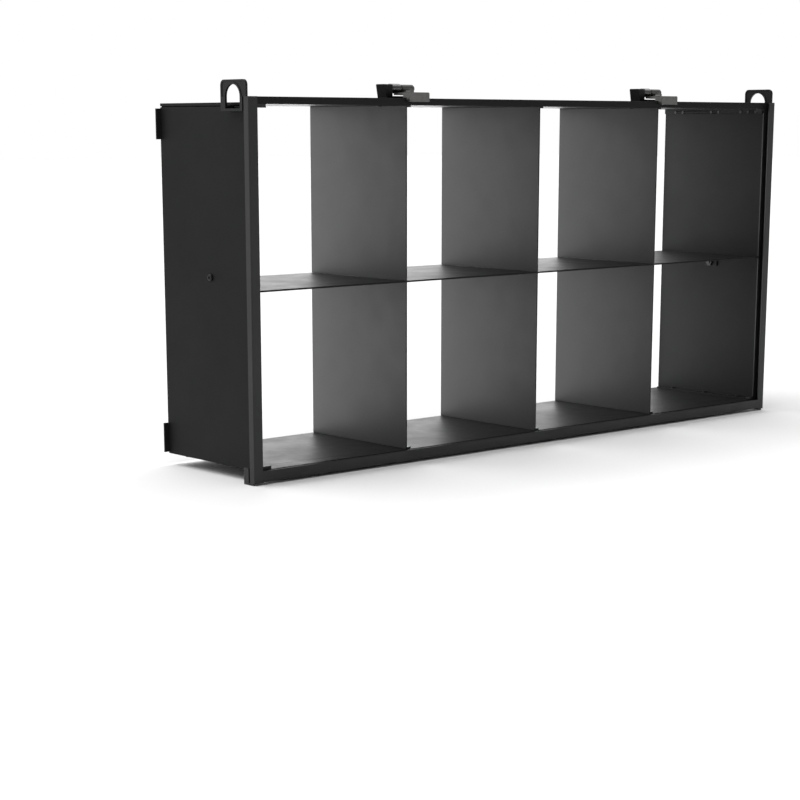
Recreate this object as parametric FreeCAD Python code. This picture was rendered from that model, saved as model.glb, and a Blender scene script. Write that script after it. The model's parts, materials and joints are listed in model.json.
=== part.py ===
import FreeCAD, Part
import math
import os

# An egg-crate louvre for a soft panel light: a black sheet-aluminium box of four by two
# cells, held to the light by tabs bent out at its four rear corners. A guide at its own
# front takes a further accessory, which two sprung latches on the top panel keep in.
#
# Millimetres. +X is to the right seen from the front, +Y runs back towards the light and
# +Z is up. The origin is the middle of the footprint, on the surface the louvre stands on.

# Driving dimensions of the box
FRAME_WIDTH = 680.0       # across the front guide
FRAME_HEIGHT = 318.0      # bottom of the front guide to the top of the upper flange
DEPTH = 138.4             # front lip to the rear edge of the panels
CELL_PITCH = 164.5        # between the upright dividers
SHELF_HEIGHT = 160.2      # middle of the horizontal divider above the guide's bottom
FLOOR_HEIGHT = 10.2       # upper surface of the bottom panel above the guide's bottom
ROOF_HEIGHT = 312.0       # underside of the top panel above the guide's bottom
SIDE_INSET = 9.25         # guide's outer wall to the outside of a side panel
SHEET = 1.5               # panels and dividers

# Driving dimensions of the guides and the pieces fixed to them
RAIL_SHEET = 1.2          # rails of the front guide
RAIL_BEND = 1.1           # outer bend radius of the side rails
SLOT = 4.3                # front guide's clear slot, front to back
SIDE_LIP = 9.0            # face width of the side lips
BOTTOM_LIP = 9.4          # face height of the bottom lip
BOTTOM_RAIL_RISE = 0.9    # the bottom rail sits this far above the side rails' ends
FOOT_DROP = 1.6           # foot tabs and rear feet reach this far below the front guide
REAR_TAB_HEIGHT = 26.0    # tabs bent out at the rear corners
REAR_TAB_WIDTH = 5.0      # their reach beyond the side panels
REAR_FOOT_MIDDLE = 185.0  # feet bent down from the bottom panel's rear edge
REAR_FOOT_WIDTH = 50.0
EAR_HEIGHT = 13.5         # ears stand this far above the front guide
EAR_PLATE = 2.0           # thickness of the ears
EAR_SETBACK = 3.5         # front lip to the ears
EAR_LENGTH = 34.5         # ears front to back
EAR_CORNER = 4.5          # radius of their upper corners
EAR_DROP = 5.6            # ears reach this far below the underside of the top panel
EAR_SCREW = 1.2           # shank radius of their screws
EAR_SCREW_HEAD = 1.6      # radius of their thin heads
EAR_SCREW_RISE = 0.5      # height of their heads
ARCH_WIDTH = 19.8         # opening through an ear
ARCH_OFFSET = 18.3        # front of an ear to the middle of its arch
ARCH_RIM = 3.7            # ear above the arch
POCKET = 0.5              # depth of the pockets in both faces of an ear
POCKET_RIM = 1.7          # ear's rim round its pockets
FOOT_TAB_HEIGHT = 12.7    # foot tabs above the guide's bottom
FOOT_TAB_LENGTH = 15.0    # front lip to the back of a foot tab
FOOT_TAB_PLATE = 2.0
RIVET = 1.6               # shank radius of the rivets
RIVET_HEAD = 3.0          # radius of their heads
RIVET_RISE = 0.9          # height of their heads and tails
RIVET_DOME = 0.63         # rounding of their heads
RIVET_TAIL = 2.2          # radius of their upset tails
STUD = 1.0                # shank radius of the clinched studs
STUD_HEAD = 1.5           # radius of their heads
STUD_RISE = 0.4           # height of their heads
STUD_SEAT = 0.9           # they end this deep in the side panel
SCREW = 1.75              # shank radius of the screws
SCREW_HEAD = 3.1          # radius of their heads
SCREW_RISE = 2.0          # height of their heads
SCREW_DOME = 1.2          # rounding of their heads
SOCKET = 1.2              # radius and depth of the screws' sockets
CUT = 1.0                 # how far a cutting tool runs past the surface
GAP = 0.3                 # air between neighbouring pieces that do not touch

# Places worked out from the driving dimensions
FRONT = -DEPTH / 2
BACK = DEPTH / 2
SLOT_FRONT = FRONT + RAIL_SHEET
SLOT_BACK = SLOT_FRONT + SLOT
WEB_BACK = SLOT_BACK + RAIL_SHEET
DIVIDER_FRONT = SLOT_BACK
DIVIDER_BACK = BACK - GAP
OUTER = FRAME_WIDTH / 2
PANEL_OUTER = OUTER - SIDE_INSET
PANEL_INNER = PANEL_OUTER - SHEET
TAB_INNER = PANEL_INNER - SHEET   # inner face of a flange lying against a side panel
LIP_INNER = OUTER - SIDE_LIP
GUIDE_BOTTOM = FOOT_DROP
GUIDE_TOP = FOOT_DROP + FRAME_HEIGHT
FLOOR_TOP = FOOT_DROP + FLOOR_HEIGHT
FLOOR_UNDER = FLOOR_TOP - SHEET
ROOF_UNDER = FOOT_DROP + ROOF_HEIGHT
ROOF_TOP = ROOF_UNDER + SHEET
SHELF_MIDDLE = FOOT_DROP + SHELF_HEIGHT
SHELF_UNDER = SHELF_MIDDLE - SHEET / 2
SHELF_TOP = SHELF_MIDDLE + SHEET / 2
BEHIND_RAIL = WEB_BACK + SHEET + GAP
DIVIDER_PLACES = [-CELL_PITCH, 0.0, CELL_PITCH]
LATCH_PLACES = [-CELL_PITCH, CELL_PITCH]

# Joints between the sheets
EDGE_DROP = 1.0           # the top panel's outer edge laps this far below its underside
END_FLANGE = 4.8          # height of its end flanges, inside the side panels
SIDE_TOP_GAP = 1.6        # side panels stop this far below the top panel's underside
SIDE_TOP_ROUND = 1.2      # outer radius of the side panels' top edge
STUD_PAIRS = [-49.0, 0.0, 49.0]   # middles of the pairs of studs through an end flange
STUD_GAP = 5.0            # studs of a pair, either side of its middle
STUD_DROP = 3.1           # studs below the underside of the top panel
FLANGE_END = 4.0          # side panels' lower flanges stop this far short of the panel's ends
FLOOR_RIVETS = [-45.0, 0.0, 45.0]
FOOT_WIDTH = 6.6          # foot flanges of the upright dividers
FOOT_LENGTH = 14.0
FOOT_MARGIN = 2.5         # foot flanges stop this far short of the divider's ends
GUSSET_REACH = 11.2       # side rail's corner gussets beyond the side panel
GUSSET_HEIGHT = 3.0
RELIEF = 2.6              # notch where a side panel's bends meet
SHELF_TAB = 12.0          # height of the horizontal divider's end tabs
SHELF_TAB_LENGTH = 18.0
SHELF_SCREW_OFFSET = 8.2  # screws above or below the horizontal divider
NUT_RADIUS = 3.9          # across the corners
NUT_HEIGHT = 2.2
LAP_PLAY = 0.1            # play of a cross-lap slot on each face

# Latch: places are measured from the divider below it, to the right and up
LATCH_AXIS_Y = FRONT + 28.0
LATCH_AXIS_Z = FOOT_DROP + 326.5
LATCH_PIN = 1.5           # pin radius
LATCH_PIN_PLAY = 0.05     # radial play of the lever's barrel on its pin
PIN_HEAD = 2.6            # radius of the pin's head
PIN_HEAD_RISE = 1.0
KNUCKLE_LEFT = -7.8
KNUCKLE_RIGHT = -1.7
KNUCKLE_RISE = 3.6        # knuckle above the pin's axis
KNUCKLE_DEPTH = 12.0
KNUCKLE_ROUND = 1.2
FLANK_LEAN = 3.4          # the knuckle's outer flank leans inwards by this over its height
BARREL_LEFT = 12.2
BARREL_RIGHT = 25.6
BARREL_RADIUS = 3.5
TONGUE_LEFT = -1.0
TONGUE_RIGHT = 21.8
TONGUE_DEPTH = 9.0
TONGUE_FRONT_WALL = 4.6   # wall hanging over the slot
TONGUE_ROUND = 1.4
LEVER_TOP = FOOT_DROP + 323.0
LEVER_UNDER = GUIDE_TOP + 0.5
TONGUE_UNDER = FOOT_DROP + 315.0
ARM_PLATE = 2.2
ARM_BACK = LATCH_AXIS_Y - KNUCKLE_DEPTH / 2 - 2 * GAP
SPRING_WIRE = 0.6         # wire radius
SPRING_RADIUS = 3.6       # middle of the wire from the pin's axis
SPRING_TURNS = 10
SPRING_END_GAP = 0.4      # between the coil and the knuckle or the barrel
SPRING_FRONT_LEG = 15.0
SPRING_REAR_LEG = 11.0
BASE_PLATE = 1.5
STOP_TOP = LEVER_TOP - ARM_PLATE - 0.8   # upturned front edge of the base, under the lever's arm
BASE_FRONT = LATCH_AXIS_Y - 7.0
BASE_BACK = LATCH_AXIS_Y + 13.0
BASE_RIVET_Y = LATCH_AXIS_Y + 9.0
BASE_RIVETS = [-4.4, 22.0]


def box(x0, x1, y0, y1, z0, z1):
    """Box between two corners, given in any order along each axis."""
    low = FreeCAD.Vector(min(x0, x1), min(y0, y1), min(z0, z1))
    return Part.makeBox(abs(x1 - x0), abs(y1 - y0), abs(z1 - z0), low)


def rod(radius, start, end):
    """Round bar from one point to another."""
    low = FreeCAD.Vector(*start)
    run = FreeCAD.Vector(*end) - low
    return Part.makeCylinder(radius, run.Length, low, run)


def joined(pieces):
    """One solid from pieces that touch or overlap."""
    whole = pieces[0]
    for piece in pieces[1:]:
        whole = whole.fuse(piece)
    return whole.removeSplitter()


def without(shape, tools):
    """The shape with every tool cut away."""
    if not tools:
        return shape
    return shape.cut(Part.makeCompound(tools))


def mirrored(shape):
    """The same shape on the other side of the middle plane."""
    return shape.mirror(FreeCAD.Vector(0, 0, 0), FreeCAD.Vector(1, 0, 0))


def rounded(shape, radius, wanted):
    """Fillet the edges whose middle point the given test accepts."""
    edges = [edge for edge in shape.Edges if wanted(edge)]
    return shape.makeFillet(radius, edges)


def middle_of(edge):
    return edge.valueAt((edge.FirstParameter + edge.LastParameter) / 2)


def runs_along(edge, axis):
    """True for a straight edge that is parallel to the named axis."""
    start = edge.Vertexes[0].Point
    run = edge.Vertexes[-1].Point - start
    parts = {"x": abs(run.x), "y": abs(run.y), "z": abs(run.z)}
    return run.Length > 0 and parts[axis] > 0.999 * run.Length


# Rivet and screw places

def stud_places():
    """Pairs of clinched studs through the top panel's end flanges, as Y and Z."""
    height = ROOF_UNDER - STUD_DROP
    return [(middle + offset, height) for middle in STUD_PAIRS for offset in (-STUD_GAP, STUD_GAP)]


def ear_screw_place():
    """One screw in line with the studs, through the side panel into the ear's rear leg, as Y and Z."""
    leg_middle = (arch_middle() + ARCH_WIDTH / 2 + ear_back()) / 2
    return leg_middle, ROOF_UNDER - STUD_DROP


def foot_middles():
    """Front and rear foot flanges of an upright divider, at their middles along Y."""
    reach = FOOT_MARGIN + FOOT_LENGTH / 2
    return [DIVIDER_FRONT + reach, DIVIDER_BACK - reach]


def foot_rivet_places():
    """Rivets through the dividers' foot flanges, as X and Y."""
    inset = SHEET / 2 + FOOT_WIDTH / 2
    return [(place + inset, middle) for place in DIVIDER_PLACES for middle in foot_middles()]


def floor_flange_rivet_places():
    """Rivets through the bottom panel and the side panels' lower flanges, as X and Y."""
    inset = PANEL_INNER - FOOT_WIDTH / 2
    return [(side * inset, y) for side in (-1, 1) for y in FLOOR_RIVETS]


def latch_rivet_places():
    """Two rivets through each latch's base plate, as X and Y."""
    return [(place + offset, BASE_RIVET_Y) for place in LATCH_PLACES for offset in BASE_RIVETS]


def shelf_screw_height(side):
    """The left end tab is bent up and the right one down."""
    return SHELF_MIDDLE - side * SHELF_SCREW_OFFSET


# Panels

def rear_corner_tab(low):
    """Tab bent outwards at the rear edge of the right side panel, upwards from the given height."""
    return box(PANEL_OUTER, PANEL_OUTER + REAR_TAB_WIDTH, BACK - SHEET, BACK, low, low + REAR_TAB_HEIGHT)


def side_panel(side):
    """Side wall with a flange bent out at the front and in at the bottom, and rear corner tabs."""
    side_top = ROOF_UNDER - SIDE_TOP_GAP
    web = box(PANEL_INNER, PANEL_OUTER, WEB_BACK, BACK, FLOOR_TOP, side_top)
    web = rounded(web, SIDE_TOP_ROUND, lambda e: runs_along(e, "y") and middle_of(e).z > side_top - CUT
                  and middle_of(e).x > PANEL_OUTER - SHEET / 2)
    front_flange = box(OUTER - RAIL_SHEET - GAP, PANEL_OUTER, WEB_BACK, WEB_BACK + SHEET, FLOOR_TOP, side_top)
    floor_flange = box(PANEL_INNER - FOOT_WIDTH, PANEL_INNER, WEB_BACK + FLANGE_END, BACK - FLANGE_END,
                       FLOOR_TOP, FLOOR_TOP + SHEET)
    top_tab = rear_corner_tab(side_top - SIDE_TOP_ROUND - REAR_TAB_HEIGHT)
    whole = joined([web, front_flange, floor_flange, top_tab, rear_corner_tab(FLOOR_TOP)])
    relief = box(PANEL_INNER - CUT, PANEL_OUTER + CUT, WEB_BACK, WEB_BACK + RELIEF,
                 side_top - RELIEF, ROOF_UNDER)
    holes = [relief]
    for y, z in stud_places():
        holes.append(rod(STUD, (PANEL_INNER - CUT, y, z), (PANEL_INNER + STUD_SEAT, y, z)))
    ear_y, ear_z = ear_screw_place()
    holes.append(rod(EAR_SCREW, (PANEL_INNER - CUT, ear_y, ear_z), (PANEL_OUTER + CUT, ear_y, ear_z)))
    for x, y in floor_flange_rivet_places():
        holes.append(rod(RIVET, (abs(x), y, FLOOR_TOP - CUT), (abs(x), y, FLOOR_TOP + SHEET + CUT)))
    height = shelf_screw_height(side)
    holes.append(rod(SCREW, (PANEL_INNER - CUT, 0, height), (PANEL_OUTER + CUT, 0, height)))
    panel = without(whole, holes)
    return panel if side > 0 else mirrored(panel)


def top_panel():
    """Roof with an upturned front flange and a flange turned down inside each side panel."""
    sheet = box(-PANEL_OUTER, PANEL_OUTER, WEB_BACK, BACK, ROOF_UNDER, ROOF_TOP)
    front_flange = box(-PANEL_INNER, PANEL_INNER, SLOT_BACK, WEB_BACK, ROOF_UNDER, GUIDE_TOP)
    pieces = [sheet, front_flange]
    for side in (-1, 1):
        pieces.append(box(side * PANEL_OUTER, side * PANEL_INNER, WEB_BACK, BACK,
                          ROOF_UNDER - EDGE_DROP, ROOF_UNDER))
        pieces.append(box(side * PANEL_INNER, side * TAB_INNER, WEB_BACK, BACK,
                          ROOF_UNDER - END_FLANGE, ROOF_UNDER))
    whole = joined(pieces)
    holes = []
    ear_y, ear_z = ear_screw_place()
    for side in (-1, 1):
        for y, z in stud_places():
            holes.append(rod(STUD, (side * PANEL_INNER, y, z), (side * (TAB_INNER - CUT), y, z)))
        holes.append(rod(EAR_SCREW, (side * PANEL_INNER, ear_y, ear_z),
                         (side * (TAB_INNER - CUT), ear_y, ear_z)))
    for x, y in foot_rivet_places() + latch_rivet_places():
        holes.append(rod(RIVET, (x, y, ROOF_UNDER - CUT), (x, y, ROOF_TOP + CUT)))
    return without(whole, holes)


def bottom_panel():
    """Floor with a downturned front flange and two feet bent down at the rear."""
    sheet = box(-PANEL_OUTER, PANEL_OUTER, WEB_BACK, BACK, FLOOR_UNDER, FLOOR_TOP)
    front_flange = box(-PANEL_OUTER, PANEL_OUTER, WEB_BACK, WEB_BACK + SHEET,
                       GUIDE_BOTTOM + BOTTOM_RAIL_RISE, FLOOR_UNDER)
    pieces = [sheet, front_flange]
    for middle in (-REAR_FOOT_MIDDLE, REAR_FOOT_MIDDLE):
        left = middle - REAR_FOOT_WIDTH / 2
        right = middle + REAR_FOOT_WIDTH / 2
        pieces.append(box(left, right, BACK - SHEET, BACK, 0, FLOOR_UNDER))
    holes = []
    for x, y in foot_rivet_places() + floor_flange_rivet_places():
        holes.append(rod(RIVET, (x, y, FLOOR_UNDER - CUT), (x, y, FLOOR_TOP + CUT)))
    return without(joined(pieces), holes)


# Dividers

def upright_divider(place):
    """Upright blade with foot flanges to its right, slotted from behind for the shelf."""
    left = place - SHEET / 2
    right = place + SHEET / 2
    pieces = [box(left, right, DIVIDER_FRONT, DIVIDER_BACK, FLOOR_TOP, ROOF_UNDER)]
    for middle in foot_middles():
        for low in (FLOOR_TOP, ROOF_UNDER - SHEET):
            pieces.append(box(right, right + FOOT_WIDTH, middle - FOOT_LENGTH / 2,
                              middle + FOOT_LENGTH / 2, low, low + SHEET))
    holes = [box(left - CUT, right + CUT, 0, DIVIDER_BACK + CUT,
                 SHELF_UNDER - LAP_PLAY, SHELF_TOP + LAP_PLAY)]
    for x, y in foot_rivet_places():
        if left < x < right + FOOT_WIDTH:
            holes.append(rod(RIVET, (x, y, FLOOR_TOP - CUT), (x, y, ROOF_UNDER + CUT)))
    return without(joined(pieces), holes)


def horizontal_divider():
    """Shelf with one end bent up and the other down, slotted from the front for the uprights."""
    pieces = [box(-PANEL_INNER, PANEL_INNER, DIVIDER_FRONT, DIVIDER_BACK, SHELF_UNDER, SHELF_TOP)]
    holes = []
    for side in (-1, 1):
        tab_end = SHELF_MIDDLE - side * SHELF_TAB
        pieces.append(box(side * PANEL_INNER, side * TAB_INNER, -SHELF_TAB_LENGTH / 2,
                          SHELF_TAB_LENGTH / 2, SHELF_MIDDLE, tab_end))
        height = shelf_screw_height(side)
        holes.append(rod(SCREW, (side * PANEL_OUTER, 0, height), (side * (TAB_INNER - CUT), 0, height)))
    for place in DIVIDER_PLACES:
        holes.append(box(place - SHEET / 2 - LAP_PLAY, place + SHEET / 2 + LAP_PLAY,
                         DIVIDER_FRONT - CUT, 0, SHELF_UNDER - CUT, SHELF_TOP + CUT))
    return without(joined(pieces), holes)


# Front guide

def side_rail(side):
    """Channel down one side: lip, outer wall and web, with corner gussets and a closed foot."""
    lip = box(LIP_INNER, OUTER, FRONT, SLOT_FRONT, GUIDE_BOTTOM, GUIDE_TOP)
    wall = box(OUTER - RAIL_SHEET, OUTER, FRONT, WEB_BACK, GUIDE_BOTTOM, GUIDE_TOP)
    web = box(PANEL_INNER, OUTER, SLOT_BACK, WEB_BACK, GUIDE_BOTTOM, GUIDE_TOP)
    foot = box(PANEL_INNER, OUTER, FRONT, WEB_BACK, GUIDE_BOTTOM, GUIDE_BOTTOM + RAIL_SHEET)
    foot = foot.cut(box(PANEL_INNER - CUT, LIP_INNER, FRONT - CUT, SLOT_FRONT, 0, FLOOR_TOP))
    gusset = [PANEL_INNER - GUSSET_REACH, PANEL_INNER, SLOT_BACK, WEB_BACK]
    top_gusset = box(*gusset, ROOF_UNDER - GUSSET_HEIGHT, ROOF_UNDER)
    low_gusset = box(*gusset, FLOOR_TOP, FLOOR_TOP + GUSSET_HEIGHT)
    rail = joined([lip, wall, web, foot, top_gusset, low_gusset])
    rail = rounded(rail, RAIL_BEND, lambda e: runs_along(e, "z") and middle_of(e).x > OUTER - GAP
                   and middle_of(e).y < FRONT + GAP)
    return rail if side > 0 else mirrored(rail)


def bottom_rail():
    """Channel along the bottom: lip, lower wall and web, between the side rails."""
    low = GUIDE_BOTTOM + BOTTOM_RAIL_RISE
    lip = box(-LIP_INNER, LIP_INNER, FRONT, SLOT_FRONT, low, low + BOTTOM_LIP)
    wall = box(-PANEL_INNER, PANEL_INNER, FRONT, WEB_BACK, low, low + RAIL_SHEET)
    web = box(-PANEL_INNER, PANEL_INNER, SLOT_BACK, WEB_BACK, low, FLOOR_TOP)
    return joined([lip, wall, web])


def ear_front():
    return FRONT + EAR_SETBACK


def ear_back():
    return ear_front() + EAR_LENGTH


def arch_middle():
    """Middle of an ear's arch along Y: the front leg is a little wider than the rear one."""
    return ear_front() + ARCH_OFFSET


def arch_centre():
    """Height of the centre of the arch's round top."""
    return GUIDE_TOP + EAR_HEIGHT - ARCH_RIM - ARCH_WIDTH / 2


def ear(side):
    """Lifting ear: an upright plate with an arched opening, its legs spaced off the side panel."""
    plate_inner = OUTER - EAR_PLATE
    ear_top = GUIDE_TOP + EAR_HEIGHT
    ear_low = ROOF_UNDER - EAR_DROP
    upper = box(plate_inner, OUTER, ear_front(), ear_back(), GUIDE_TOP, ear_top)
    upper = rounded(upper, EAR_CORNER, lambda e: runs_along(e, "x") and middle_of(e).z > ear_top - CUT)
    lower = box(plate_inner, OUTER, BEHIND_RAIL, ear_back(), ear_low, GUIDE_TOP)
    spacer = box(PANEL_OUTER, plate_inner, BEHIND_RAIL, ear_back(), ear_low, ROOF_UNDER - SIDE_TOP_GAP)
    plate = joined([upper, lower, spacer])
    low = arch_middle() - ARCH_WIDTH / 2
    high = arch_middle() + ARCH_WIDTH / 2
    opening = box(PANEL_OUTER - CUT, OUTER + CUT, low, high, ear_low + EAR_PLATE, arch_centre())
    crown = rod(ARCH_WIDTH / 2, (plate_inner - CUT, arch_middle(), arch_centre()),
                (OUTER + CUT, arch_middle(), arch_centre()))
    y, z = ear_screw_place()
    seat = rod(EAR_SCREW, (PANEL_OUTER - CUT, y, z), (plate_inner, y, z))
    plate = without(plate, [opening, crown, seat] + ear_pockets(ear_top))
    return plate if side > 0 else mirrored(plate)


def ear_pockets(ear_top):
    """Shallow pockets in both faces of an ear, between its outer rim and the arch's rim."""
    arch_rim = ARCH_WIDTH / 2 + POCKET_RIM
    pockets = []
    for low in (OUTER - POCKET, OUTER - EAR_PLATE):
        field = box(low, low + POCKET, ear_front() + POCKET_RIM, ear_back() - POCKET_RIM,
                    arch_centre(), ear_top - POCKET_RIM)
        field = rounded(field, EAR_CORNER - POCKET_RIM,
                        lambda e: runs_along(e, "x") and middle_of(e).z > ear_top - POCKET_RIM - GAP)
        keep = rod(arch_rim, (low - CUT, arch_middle(), arch_centre()),
                   (low + POCKET + CUT, arch_middle(), arch_centre()))
        pockets.append(field.cut(keep))
    return pockets


def foot_tab(side):
    """Bracket behind the lower end of a side rail, whose outer leg reaches down to the ground."""
    top = GUIDE_BOTTOM + FOOT_TAB_HEIGHT
    leg_back = FRONT + FOOT_TAB_LENGTH
    leg_inner = OUTER - FOOT_TAB_PLATE
    leg = box(leg_inner, OUTER, BEHIND_RAIL, leg_back, 0, top)
    toe = box(leg_inner, OUTER, SLOT_FRONT + RAIL_SHEET, leg_back, 0, GUIDE_BOTTOM)
    back_leg = box(PANEL_OUTER, OUTER, BEHIND_RAIL, BEHIND_RAIL + FOOT_TAB_PLATE,
                   GUIDE_BOTTOM + BOTTOM_RAIL_RISE, top)
    bracket = joined([leg, toe, back_leg])
    return bracket if side > 0 else mirrored(bracket)


# Latches

def leaning_cut(place):
    """Tool that slopes the knuckle's outer flank."""
    outside = place + KNUCKLE_LEFT - 2 * FLANK_LEAN
    flank_low = place + KNUCKLE_LEFT + GAP
    front = LATCH_AXIS_Y - KNUCKLE_DEPTH
    low = ROOF_TOP - CUT
    high = LATCH_AXIS_Z + KNUCKLE_RISE + CUT
    corners = [FreeCAD.Vector(outside, front, low),
               FreeCAD.Vector(flank_low, front, low),
               FreeCAD.Vector(flank_low - FLANK_LEAN, front, high),
               FreeCAD.Vector(outside, front, high)]
    flank = Part.Face(Part.makePolygon(corners + corners[:1]))
    return flank.extrude(FreeCAD.Vector(0, 2 * KNUCKLE_DEPTH, 0))


def latch_base(place):
    """Base plate with the fixed knuckle, whose outer flank slopes, and an upturned front edge."""
    plate = box(place + KNUCKLE_LEFT, place + BARREL_RIGHT, BASE_FRONT, BASE_BACK,
                ROOF_TOP, ROOF_TOP + BASE_PLATE)
    post = box(place + KNUCKLE_LEFT - FLANK_LEAN, place + KNUCKLE_RIGHT, LATCH_AXIS_Y - KNUCKLE_DEPTH / 2,
               LATCH_AXIS_Y + KNUCKLE_DEPTH / 2, ROOF_TOP, LATCH_AXIS_Z + KNUCKLE_RISE)
    post = rounded(post, KNUCKLE_ROUND, lambda e: runs_along(e, "x") and middle_of(e).z > LATCH_AXIS_Z)
    stop = box(place + KNUCKLE_RIGHT, place + TONGUE_RIGHT, BASE_FRONT, BASE_FRONT + BASE_PLATE,
               ROOF_TOP, STOP_TOP)
    base = joined([plate, post.cut(leaning_cut(place)), stop])
    holes = [rod(RIVET, (x, y, ROOF_TOP - CUT), (x, y, ROOF_TOP + BASE_PLATE + CUT))
             for x, y in latch_rivet_places()]
    holes.append(rod(LATCH_PIN, (place + KNUCKLE_LEFT + CUT, LATCH_AXIS_Y, LATCH_AXIS_Z),
                     (place + KNUCKLE_RIGHT + CUT, LATCH_AXIS_Y, LATCH_AXIS_Z)))
    return without(base, holes)


def latch_pin(place):
    """Pin pressed into the knuckle, with a flat head beyond the lever's barrel."""
    start = place + KNUCKLE_LEFT + CUT
    end = place + BARREL_RIGHT + GAP
    pin = rod(LATCH_PIN, (start, LATCH_AXIS_Y, LATCH_AXIS_Z), (end, LATCH_AXIS_Y, LATCH_AXIS_Z))
    head = rod(PIN_HEAD, (end, LATCH_AXIS_Y, LATCH_AXIS_Z), (end + PIN_HEAD_RISE, LATCH_AXIS_Y, LATCH_AXIS_Z))
    return joined([pin, head])


def latch_lever(place):
    """Barrel on the pin, an arm forward over the flange, and the tongue over the slot's mouth."""
    left = place + TONGUE_LEFT
    right = place + TONGUE_RIGHT
    barrel_left = place + BARREL_LEFT
    barrel_right = place + BARREL_RIGHT
    barrel = rod(BARREL_RADIUS, (barrel_left, LATCH_AXIS_Y, LATCH_AXIS_Z),
                 (barrel_right, LATCH_AXIS_Y, LATCH_AXIS_Z))
    riser = box(barrel_left, right, ARM_BACK - CUT, LATCH_AXIS_Y, LEVER_TOP - ARM_PLATE, LATCH_AXIS_Z - CUT)
    arm = box(left, right, FRONT, ARM_BACK, LEVER_TOP - ARM_PLATE, LEVER_TOP)
    block = box(left, right, FRONT, FRONT + TONGUE_DEPTH, LEVER_UNDER, LEVER_TOP)
    front_wall = box(left, right, FRONT, FRONT + TONGUE_FRONT_WALL, TONGUE_UNDER, LEVER_TOP)
    lever = joined([barrel, riser, arm, block, front_wall])
    lever = rounded(lever, TONGUE_ROUND, lambda e: runs_along(e, "y") and abs(middle_of(e).x - right) < GAP
                    and abs(middle_of(e).z - LEVER_TOP) < GAP)
    bore = rod(LATCH_PIN + LATCH_PIN_PLAY, (barrel_left - CUT, LATCH_AXIS_Y, LATCH_AXIS_Z),
               (barrel_right + CUT, LATCH_AXIS_Y, LATCH_AXIS_Z))
    return without(lever, [bore])


def spring_coil(left, right):
    """Close-wound turns as one sleeve with a round crest for every turn of the wire."""
    pitch = (right - left) / SPRING_TURNS

    def at(x, radius):
        return FreeCAD.Vector(x, LATCH_AXIS_Y, LATCH_AXIS_Z + radius)

    inner = SPRING_RADIUS - SPRING_WIRE
    crest = SPRING_RADIUS + SPRING_WIRE
    edges = []
    for turn in range(SPRING_TURNS):
        start = left + turn * pitch
        end = start + pitch
        arc = Part.Arc(at(start, SPRING_RADIUS), at(start + pitch / 2, crest), at(end, SPRING_RADIUS))
        edges.append(arc.toShape())
    corners = [at(right, SPRING_RADIUS), at(right, inner), at(left, inner), at(left, SPRING_RADIUS)]
    edges += [Part.makeLine(first, last) for first, last in zip(corners, corners[1:])]
    return Part.Face(Part.Wire(edges)).revolve(at(0, 0), FreeCAD.Vector(1, 0, 0), 360)


def latch_spring(place):
    """Torsion spring round the pin: one leg lies over the lever's arm, one on the base."""
    left = place + KNUCKLE_RIGHT + SPRING_END_GAP
    right = place + BARREL_LEFT - SPRING_END_GAP
    low = LATCH_AXIS_Z - SPRING_RADIUS
    over_arm = LEVER_TOP + SPRING_WIRE + GAP / 2
    leg_start = LATCH_AXIS_Y - math.sqrt(SPRING_RADIUS ** 2 - (LATCH_AXIS_Z - over_arm) ** 2)
    half_turn = (right - left) / SPRING_TURNS / 2
    front_x = right - half_turn
    rear_x = left + half_turn
    front_leg = rod(SPRING_WIRE, (front_x, leg_start, over_arm),
                    (front_x, LATCH_AXIS_Y - SPRING_FRONT_LEG, over_arm))
    rear_leg = rod(SPRING_WIRE, (rear_x, LATCH_AXIS_Y, low),
                   (rear_x, LATCH_AXIS_Y + SPRING_REAR_LEG, ROOF_TOP + BASE_PLATE + SPRING_WIRE + GAP / 2))
    return joined([spring_coil(left, right), front_leg, rear_leg])


# Fasteners

def rivet(point, direction, grip):
    """Rivet: domed head on the point's side, shank through the grip, upset tail beyond."""
    base = FreeCAD.Vector(*point)
    way = FreeCAD.Vector(*direction)
    shank = Part.makeCylinder(RIVET, grip, base, way)
    head = Part.makeCylinder(RIVET_HEAD, RIVET_RISE, base - way * RIVET_RISE, way)
    crown = [edge for edge in head.Edges
             if edge.Closed and (middle_of(edge) - base).dot(way) < -RIVET_RISE / 2]
    head = head.makeFillet(RIVET_DOME, crown)
    tail = Part.makeCylinder(RIVET_TAIL, RIVET_RISE, base + way * grip, way)
    return joined([shank, head, tail])


def flat_head(point, side, length, radius, head_radius, head_rise):
    """Bar with a thin flat head: the head rests at the point and the bar runs outwards."""
    x, y, z = point
    shank = rod(radius, point, (x + side * length, y, z))
    head = rod(head_radius, (x - side * head_rise, y, z), point)
    return joined([shank, head])


def screw(point, direction, length):
    """Pan-head screw with a socket: head on the point's side, shank along the direction."""
    base = FreeCAD.Vector(*point)
    way = FreeCAD.Vector(*direction)
    shank = Part.makeCylinder(SCREW, length, base, way)
    head = Part.makeCylinder(SCREW_HEAD, SCREW_RISE, base - way * SCREW_RISE, way)
    crown = [edge for edge in head.Edges
             if edge.Closed and (middle_of(edge) - base).dot(way) < -SCREW_RISE / 2]
    head = head.makeFillet(SCREW_DOME, crown)
    socket = Part.makeCylinder(SOCKET, SOCKET, base - way * SCREW_RISE, way)
    return joined([shank, head]).cut(socket)


def roof_studs():
    """Clinched studs of the top panel's end flanges: they end inside the side panel's thickness."""
    pieces = []
    for side in (-1, 1):
        for y, z in stud_places():
            pieces.append(flat_head((side * TAB_INNER, y, z), side, SHEET + STUD_SEAT,
                                    STUD, STUD_HEAD, STUD_RISE))
    return Part.makeCompound(pieces)


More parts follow.
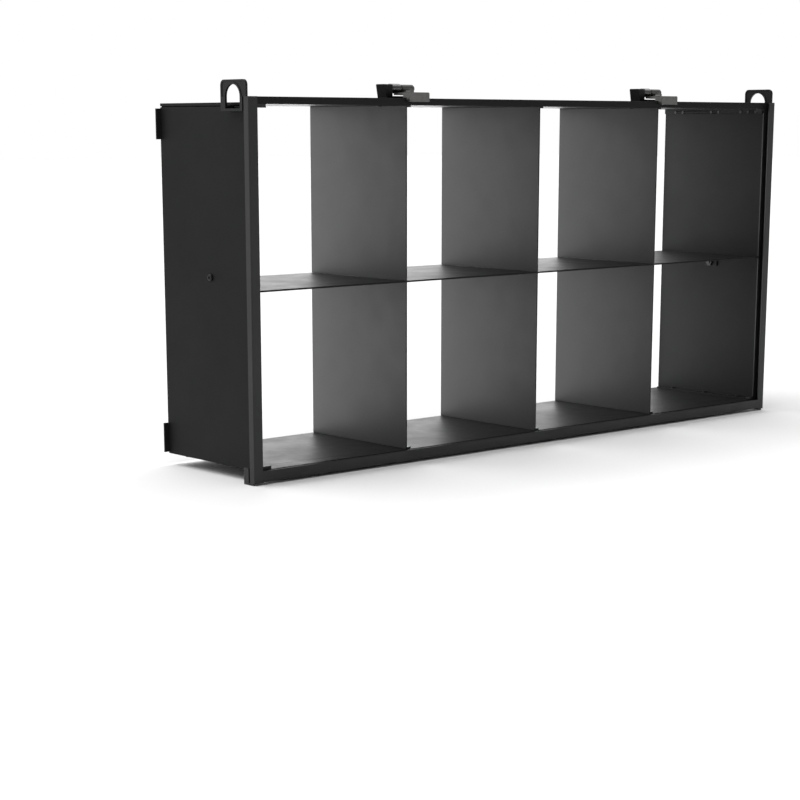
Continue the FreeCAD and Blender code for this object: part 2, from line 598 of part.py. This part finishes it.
def foot_rivets(upper):
    """Rivets that hold the upright dividers' foot flanges, heads on the outside of the box."""
    pieces = []
    for x, y in foot_rivet_places():
        if upper:
            pieces.append(rivet((x, y, ROOF_TOP), (0, 0, -1), 2 * SHEET))
        else:
            pieces.append(rivet((x, y, FLOOR_UNDER), (0, 0, 1), 2 * SHEET))
    return Part.makeCompound(pieces)


def floor_rivets():
    pieces = [rivet((x, y, FLOOR_UNDER), (0, 0, 1), 2 * SHEET) for x, y in floor_flange_rivet_places()]
    return Part.makeCompound(pieces)


def latch_rivets(place):
    pieces = [rivet((x, y, ROOF_TOP + BASE_PLATE), (0, 0, -1), SHEET + BASE_PLATE)
              for x, y in latch_rivet_places() if abs(x - place) < CELL_PITCH / 2]
    return Part.makeCompound(pieces)


def ear_screws():
    """One screw from inside each end flange and side panel into the ear's rear leg."""
    y, z = ear_screw_place()
    length = 2 * SHEET + SIDE_INSET - EAR_PLATE - GAP
    pieces = [flat_head((side * TAB_INNER, y, z), side, length, EAR_SCREW, EAR_SCREW_HEAD, EAR_SCREW_RISE)
              for side in (-1, 1)]
    return Part.makeCompound(pieces)


def shelf_screws():
    """Screws from outside through the side panel, the shelf's end tab and a nut."""
    length = 2 * SHEET + NUT_HEIGHT + CUT
    pieces = [screw((side * PANEL_OUTER, 0, shelf_screw_height(side)), (-side, 0, 0), length)
              for side in (-1, 1)]
    return Part.makeCompound(pieces)


def shelf_nuts():
    """Hexagon nuts on the inside of the horizontal divider's end tabs."""
    pieces = []
    for side in (-1, 1):
        z = shelf_screw_height(side)
        inner = side * TAB_INNER
        corners = []
        for step in range(7):
            angle = math.radians(60 * step)
            corner_z = z + NUT_RADIUS * math.sin(angle)
            corners.append(FreeCAD.Vector(inner, NUT_RADIUS * math.cos(angle), corner_z))
        nut = Part.Face(Part.makePolygon(corners)).extrude(FreeCAD.Vector(-side * NUT_HEIGHT, 0, 0))
        pieces.append(nut.cut(rod(SCREW, (inner + side, 0, z), (inner - side * (NUT_HEIGHT + CUT), 0, z))))
    return Part.makeCompound(pieces)


def all_nodes():
    nodes = {
        "left_side_panel": side_panel(-1),
        "right_side_panel": side_panel(1),
        "top_panel": top_panel(),
        "bottom_panel": bottom_panel(),
        "horizontal_divider": horizontal_divider(),
        "left_guide_rail": side_rail(-1),
        "right_guide_rail": side_rail(1),
        "bottom_guide_rail": bottom_rail(),
        "left_ear": ear(-1),
        "right_ear": ear(1),
        "left_foot_tab": foot_tab(-1),
        "right_foot_tab": foot_tab(1),
        "roof_studs": roof_studs(),
        "upper_foot_rivets": foot_rivets(True),
        "lower_foot_rivets": foot_rivets(False),
        "floor_rivets": floor_rivets(),
        "ear_screws": ear_screws(),
        "shelf_screws": shelf_screws(),
        "shelf_nuts": shelf_nuts(),
    }
    for name, place in zip(("left", "middle", "right"), DIVIDER_PLACES):
        nodes[name + "_divider"] = upright_divider(place)
    for name, place in zip(("left", "right"), LATCH_PLACES):
        nodes[name + "_latch_base"] = latch_base(place)
        nodes[name + "_latch_pin"] = latch_pin(place)
        nodes[name + "_latch_lever"] = latch_lever(place)
        nodes[name + "_latch_spring"] = latch_spring(place)
        nodes[name + "_latch_rivets"] = latch_rivets(place)
    return nodes


os.makedirs("parts", exist_ok=True)
for node, shape in all_nodes().items():
    shape.exportStep(os.path.join("parts", node + ".step"))
    print(node, len(shape.Solids), shape.isValid(), round(shape.Volume))
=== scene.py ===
import json
import math

import bpy
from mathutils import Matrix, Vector


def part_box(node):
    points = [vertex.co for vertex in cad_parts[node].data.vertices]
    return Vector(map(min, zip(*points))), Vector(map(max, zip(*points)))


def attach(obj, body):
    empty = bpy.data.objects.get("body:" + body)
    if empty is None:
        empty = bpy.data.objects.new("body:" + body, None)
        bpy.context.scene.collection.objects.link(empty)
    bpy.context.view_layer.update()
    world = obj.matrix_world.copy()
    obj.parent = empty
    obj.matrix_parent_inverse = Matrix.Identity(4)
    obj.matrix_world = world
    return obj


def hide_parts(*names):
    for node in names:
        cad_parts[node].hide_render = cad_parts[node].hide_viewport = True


# The looks of an egg-crate louvre for a soft panel light. Everything is in metres, in the
# louvre's own frame: +X right seen from the front, +Y back, +Z up, standing on Z = 0.

MM = 0.001

# Camera
CAMERA_PLACE = Vector((-1.3077, -1.3489, 0.2955))
CAMERA_AIM = Vector((0.6485, 0.7311, -0.2120))
CAMERA_LENS = 87.07            # on the 36 mm sensor
CAMERA_SHIFT_X = -0.0049
CAMERA_SHIFT_Y = 0.183
CAMERA_CLIP_START = 0.05

# Studio: bright paper behind, a dimmer room in front, a wide soft sun from above, and the
# white face of a panel light right behind the louvre
BACK_LIGHT = 1.0
FRONT_LIGHT = 0.30
DIM_BELOW = -0.5               # directions whose Y part is less see the dimmer room
BRIGHT_ABOVE = 0.4             # directions whose Y part is more see the bright paper
SUN_DIRECTION = Vector((0.30, -0.22, -1.0))
SUN_POWER = 1.9
SUN_ANGLE = math.radians(75)
PANEL_LIGHT_SIZE = (0.645, 0.300)
PANEL_LIGHT_PLACE = (0.0, 0.0750, 0.1626)
PANEL_LIGHT_POWER = 1.9
FLOOR_HALF_WIDTH = 14.0
FLOOR_COLOUR = (0.93, 0.93, 0.93, 1.0)
FLOOR_MIRROR = 0.2
FLOOR_ROUGHNESS = 0.85

# Finish of the coated metal: colour, gloss of the shader's mirror part, least and most roughness
SHEET = ((0.0135, 0.0137, 0.0142), 0.06, 0.42, 0.52)
# Painted light: the blades are the same black coat as the sheet, painted about half again as
# light to stand in for the panel light falling on them
BLADE_WITH_PAINTED_LIGHT = ((0.021, 0.0212, 0.0218), 0.17, 0.38, 0.48)
RAIL = ((0.011, 0.0112, 0.0118), 0.36, 0.34, 0.46)
CASTING = ((0.006, 0.0061, 0.0064), 0.22, 0.30, 0.42)
FASTENER = ((0.007, 0.0071, 0.0074), 0.25, 0.30, 0.42)

# Finish of the bare metal: colour, least and most roughness, axis of the brushed lines
STEEL = ((0.17, 0.168, 0.163), 0.32, 0.45, 0)
DARK_ZINC = ((0.08, 0.08, 0.083), 0.30, 0.42, 2)
SPRING_METAL = ((0.20, 0.20, 0.197), 0.16, 0.26, 0)

# Texture of the powder coat: features per metre, tones as shares of the colour, relief
CLOUD_SCALE = 9.0
RUB_SCALE = 38.0
PEEL_SCALE = 260.0
PEBBLE_SCALE = 1100.0
DUST_SCALE = 2600.0
CLOUD_TONES = (0.86, 1.16)
DUST_TONE = 2.2
PEEL_RELIEF = 0.02 * MM
PEBBLE_RELIEF = 0.012 * MM

# Texture of the bare metal, in the same terms
LINE_SCALE = 5200.0
LINE_SHRINK = 0.03             # the lines' scale along their own axis
MARK_SCALE = 160.0
LINE_TONES = (0.82, 1.12)
MARK_TONE = 0.6
LINE_RELIEF = 0.006 * MM

# Edges of the CAD nodes
BEVEL_WIDTH = 0.35 * MM
BEVEL_SEGMENTS = 2
BEVEL_ANGLE = math.radians(40)
FLAT_FACE_WEIGHT = 100         # large faces keep their own shading direction
WELD_DISTANCE = 0.001 * MM

# Torsion springs of the latches
SPRING_WIRE = 0.55 * MM
SPRING_TURNS = 10
TURN_STEPS = 20
WIRE_STEPS = 3                 # smoothness round the wire
FRONT_LEG_DROP = 2.75 * MM     # the front leg below the pin's axis

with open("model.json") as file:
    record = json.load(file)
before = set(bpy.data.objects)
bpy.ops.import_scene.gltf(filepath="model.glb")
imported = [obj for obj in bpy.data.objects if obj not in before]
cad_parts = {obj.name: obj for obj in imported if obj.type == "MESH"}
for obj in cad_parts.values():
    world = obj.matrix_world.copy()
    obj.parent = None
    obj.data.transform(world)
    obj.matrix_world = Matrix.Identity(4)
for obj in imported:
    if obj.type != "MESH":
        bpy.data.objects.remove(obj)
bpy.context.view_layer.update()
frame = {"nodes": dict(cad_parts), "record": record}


# Camera and stage

def place_camera():
    camera_data = bpy.data.cameras.new("camera")
    camera_data.lens = CAMERA_LENS
    camera_data.shift_x = CAMERA_SHIFT_X
    camera_data.shift_y = CAMERA_SHIFT_Y
    camera_data.clip_start = CAMERA_CLIP_START
    camera = bpy.data.objects.new("camera", camera_data)
    camera.location = CAMERA_PLACE
    camera.rotation_euler = CAMERA_AIM.to_track_quat("-Z", "Y").to_euler()
    bpy.context.collection.objects.link(camera)
    bpy.context.scene.camera = camera


def floor_material():
    material = bpy.data.materials.new("floor_paper")
    material.use_nodes = True
    shader = material.node_tree.nodes["Principled BSDF"]
    shader.inputs["Base Color"].default_value = FLOOR_COLOUR
    shader.inputs["Roughness"].default_value = FLOOR_ROUGHNESS
    shader.inputs["Specular IOR Level"].default_value = FLOOR_MIRROR
    return material


def build_floor():
    half = FLOOR_HALF_WIDTH
    mesh = bpy.data.meshes.new("floor")
    corners = [(-half, -half, 0), (half, -half, 0), (half, half, 0), (-half, half, 0)]
    mesh.from_pydata(corners, [], [(0, 1, 2, 3)])
    floor = bpy.data.objects.new("floor", mesh)
    bpy.context.collection.objects.link(floor)
    mesh.materials.append(floor_material())


def build_world():
    """Even paper-white room whose front half is dimmer."""
    world = bpy.data.worlds.new("studio")
    bpy.context.scene.world = world
    world.use_nodes = True
    nodes = world.node_tree.nodes
    links = world.node_tree.links
    direction = nodes.new("ShaderNodeTexCoord")
    parts = nodes.new("ShaderNodeSeparateXYZ")
    front_to_back = nodes.new("ShaderNodeMapRange")
    front_to_back.interpolation_type = "SMOOTHERSTEP"
    front_to_back.inputs["From Min"].default_value = DIM_BELOW
    front_to_back.inputs["From Max"].default_value = BRIGHT_ABOVE
    front_to_back.inputs["To Min"].default_value = FRONT_LIGHT
    front_to_back.inputs["To Max"].default_value = BACK_LIGHT
    links.new(direction.outputs["Generated"], parts.inputs["Vector"])
    links.new(parts.outputs["Y"], front_to_back.inputs["Value"])
    links.new(front_to_back.outputs["Result"], nodes["Background"].inputs["Strength"])
    nodes["Background"].inputs["Color"].default_value = (1.0, 1.0, 1.0, 1.0)


def build_sun():
    sun_data = bpy.data.lights.new("sun", "SUN")
    sun_data.energy = SUN_POWER
    sun_data.angle = SUN_ANGLE
    sun = bpy.data.objects.new("sun", sun_data)
    sun.rotation_euler = SUN_DIRECTION.to_track_quat("-Z", "Y").to_euler()
    bpy.context.collection.objects.link(sun)


def build_panel_light():
    """Soft light from behind the cells; its own face stays out of the picture."""
    light_data = bpy.data.lights.new("panel_light", "AREA")
    light_data.shape = "RECTANGLE"
    light_data.size, light_data.size_y = PANEL_LIGHT_SIZE
    light_data.energy = PANEL_LIGHT_POWER
    light = bpy.data.objects.new("panel_light", light_data)
    light.location = PANEL_LIGHT_PLACE
    light.rotation_euler = (math.radians(-90), 0, 0)
    light.visible_camera = False
    bpy.context.collection.objects.link(light)


# Materials

class Graph:
    """A material's nodes, made and linked by short calls."""

    def __init__(self, name):
        self.material = bpy.data.materials.new(name)
        self.material.use_nodes = True
        self.nodes = self.material.node_tree.nodes
        self.shader = self.nodes["Principled BSDF"]

    def node(self, kind, values=None, **settings):
        node = self.nodes.new(kind)
        for key, value in settings.items():
            setattr(node, key, value)
        for key, value in (values or {}).items():
            node.inputs[key].default_value = value
        return node

    def link(self, source, target):
        self.material.node_tree.links.new(source, target)

    def place(self, scale=(1.0, 1.0, 1.0)):
        """Coordinates in metres, stretched along the axes."""
        coordinates = self.node("ShaderNodeTexCoord")
        mapping = self.node("ShaderNodeMapping", {"Scale": scale})
        self.link(coordinates.outputs["Object"], mapping.inputs["Vector"])
        return mapping.outputs["Vector"]

    def noise(self, where, scale, detail=3.0, roughness=0.5):
        values = {"Scale": scale, "Detail": detail, "Roughness": roughness}
        noise = self.node("ShaderNodeTexNoise", values)
        self.link(where, noise.inputs["Vector"])
        return noise.outputs["Fac"]

    def spread(self, value, low, high, start=0.3, end=0.7):
        """The value between start and end stretched to the range from low to high."""
        values = {"From Min": start, "From Max": end, "To Min": low, "To Max": high}
        spread = self.node("ShaderNodeMapRange", values)
        self.link(value, spread.inputs["Value"])
        return spread.outputs["Result"]

    def mix(self, amount, first, second):
        """Colour mix: first where the amount is 0, second where it is 1."""
        mix = self.node("ShaderNodeMix", data_type="RGBA")
        self.link(amount, mix.inputs["Factor"])
        for socket, colour in ((mix.inputs["A"], first), (mix.inputs["B"], second)):
            if isinstance(colour, tuple):
                socket.default_value = colour
            else:
                self.link(colour, socket)
        return mix.outputs["Result"]

    def bump(self, height, distance, strength=1.0, normal=None):
        bump = self.node("ShaderNodeBump", {"Strength": strength, "Distance": distance})
        self.link(height, bump.inputs["Height"])
        if normal is not None:
            self.link(normal, bump.inputs["Normal"])
        return bump.outputs["Normal"]


def lighter(colour, times):
    """The colour made this many times as bright, with full opacity."""
    return tuple(channel * times for channel in colour) + (1.0,)


def powder_coat(name, finish):
    """Satin powder coat: pebbled surface, faint cloudiness, fine dust and rubbed patches."""
    colour, mirror, smoothest, roughest = finish
    graph = Graph(name)
    where = graph.place()
    cloud = graph.noise(where, CLOUD_SCALE, 4.0)
    dust = graph.noise(where, DUST_SCALE, 1.0)
    pebble = graph.noise(where, PEBBLE_SCALE, 2.0)
    orange_peel = graph.noise(where, PEEL_SCALE, 2.0)
    rubbed = graph.noise(where, RUB_SCALE, 6.0, 0.62)
    darker, paler = (lighter(colour, times) for times in CLOUD_TONES)
    tone = graph.mix(graph.spread(cloud, 0.0, 1.0), darker, paler)
    tone = graph.mix(graph.spread(dust, 0.0, 0.5, 0.62, 0.8), tone, lighter(colour, DUST_TONE))
    graph.link(tone, graph.shader.inputs["Base Color"])
    graph.link(graph.spread(rubbed, smoothest, roughest), graph.shader.inputs["Roughness"])
    graph.shader.inputs["Specular IOR Level"].default_value = mirror
    coarse = graph.bump(orange_peel, PEEL_RELIEF, 0.5)
    graph.link(graph.bump(pebble, PEBBLE_RELIEF, 0.6, coarse), graph.shader.inputs["Normal"])
    return graph.material


def brushed_steel(name, finish):
    """Bare metal with fine lines along one axis and light handling marks."""
    colour, smoothest, roughest, along = finish
    graph = Graph(name)
    stretch = [1.0, 1.0, 1.0]
    stretch[along] = LINE_SHRINK
    lines = graph.noise(graph.place(tuple(stretch)), LINE_SCALE, 2.0)
    marks = graph.noise(graph.place(), MARK_SCALE, 5.0, 0.6)
    darker, paler = (lighter(colour, times) for times in LINE_TONES)
    tone = graph.mix(graph.spread(lines, 0.0, 1.0), darker, paler)
    tone = graph.mix(graph.spread(marks, 0.0, 0.5, 0.5, 0.75), tone, lighter(colour, MARK_TONE))
    graph.link(tone, graph.shader.inputs["Base Color"])
    graph.link(graph.spread(marks, smoothest, roughest), graph.shader.inputs["Roughness"])
    graph.shader.inputs["Metallic"].default_value = 1.0
    graph.link(graph.bump(lines, LINE_RELIEF, 0.6), graph.shader.inputs["Normal"])
    return graph.material


# CAD nodes

def dress(node, material, bevel):
    """Give a CAD node its material and, where its edges are folded or deburred, a small round."""
    piece = frame["nodes"][node]
    piece.data.materials.clear()
    piece.data.materials.append(material)
    if bevel > 0:
        weld = piece.modifiers.new("weld", "WELD")
        weld.merge_threshold = WELD_DISTANCE
        rounding = piece.modifiers.new("rounding", "BEVEL")
        rounding.width = bevel
        rounding.segments = BEVEL_SEGMENTS
        rounding.limit_method = "ANGLE"
        rounding.angle_limit = BEVEL_ANGLE
        shading = piece.modifiers.new("shading", "WEIGHTED_NORMAL")
        shading.weight = FLAT_FACE_WEIGHT


def all_materials():
    return {"black_sheet": powder_coat("black_sheet", SHEET),
            # the blades' material is a lighter copy of the sheet's coat, with painted light from
            # the panel behind
            "black_blade": powder_coat("black_blade", BLADE_WITH_PAINTED_LIGHT),
            "black_rail": powder_coat("black_rail", RAIL),
            "black_casting": powder_coat("black_casting", CASTING),
            "black_fasteners": powder_coat("black_fasteners", FASTENER),
            "latch_steel": brushed_steel("latch_steel", STEEL),
            "screw_steel": brushed_steel("screw_steel", DARK_ZINC),
            "spring_steel": brushed_steel("spring_steel", SPRING_METAL)}


def dress_all(materials):
    small = ("black_fasteners", "screw_steel", "spring_steel")
    for entry in frame["record"]["subparts"]:
        slot = entry["material_slot"]
        dress(entry["node"], materials[slot], 0.0 if slot in small else BEVEL_WIDTH)


# Latch springs

def spring_path(side):
    """Points along the wire: front leg, turns round the pin, rear leg."""
    pin_low, pin_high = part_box(side + "_latch_pin")
    low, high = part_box(side + "_latch_spring")
    pin_y = (pin_low[1] + pin_high[1]) / 2
    pin_z = (pin_low[2] + pin_high[2]) / 2
    radius = high[2] - pin_z - SPRING_WIRE
    start = low[0] + SPRING_WIRE
    end = high[0] - SPRING_WIRE
    points = [(end, low[1], pin_z - FRONT_LEG_DROP)]
    steps = SPRING_TURNS * TURN_STEPS
    first_angle = -math.acos(FRONT_LEG_DROP / radius)
    last_angle = 2 * math.pi * SPRING_TURNS
    for step in range(steps + 1):
        angle = first_angle + (last_angle - first_angle) * step / steps
        x = end + (start - end) * step / steps
        points.append((x, pin_y + radius * math.sin(angle), pin_z - radius * math.cos(angle)))
    points.append((start, high[1], low[2] + SPRING_WIRE))
    return points


def build_spring(side, material):
    curve = bpy.data.curves.new(side + "_spring_wire", "CURVE")
    curve.dimensions = "3D"
    curve.bevel_depth = SPRING_WIRE
    curve.bevel_resolution = WIRE_STEPS
    curve.use_fill_caps = True
    points = spring_path(side)
    spline = curve.splines.new("POLY")
    spline.points.add(len(points) - 1)
    for target, point in zip(spline.points, points):
        target.co = (*point, 1.0)
    curve.materials.append(material)
    wire = bpy.data.objects.new(side + "_spring_wire", curve)
    bpy.context.collection.objects.link(wire)
    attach(wire, "frame")
    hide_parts(side + "_latch_spring")


place_camera()
build_floor()
build_world()
build_sun()
build_panel_light()
MATERIALS = all_materials()
dress_all(MATERIALS)
for latch_side in ("left", "right"):
    build_spring(latch_side, MATERIALS["spring_steel"])

bpy.context.scene.view_settings.view_transform = "Standard"
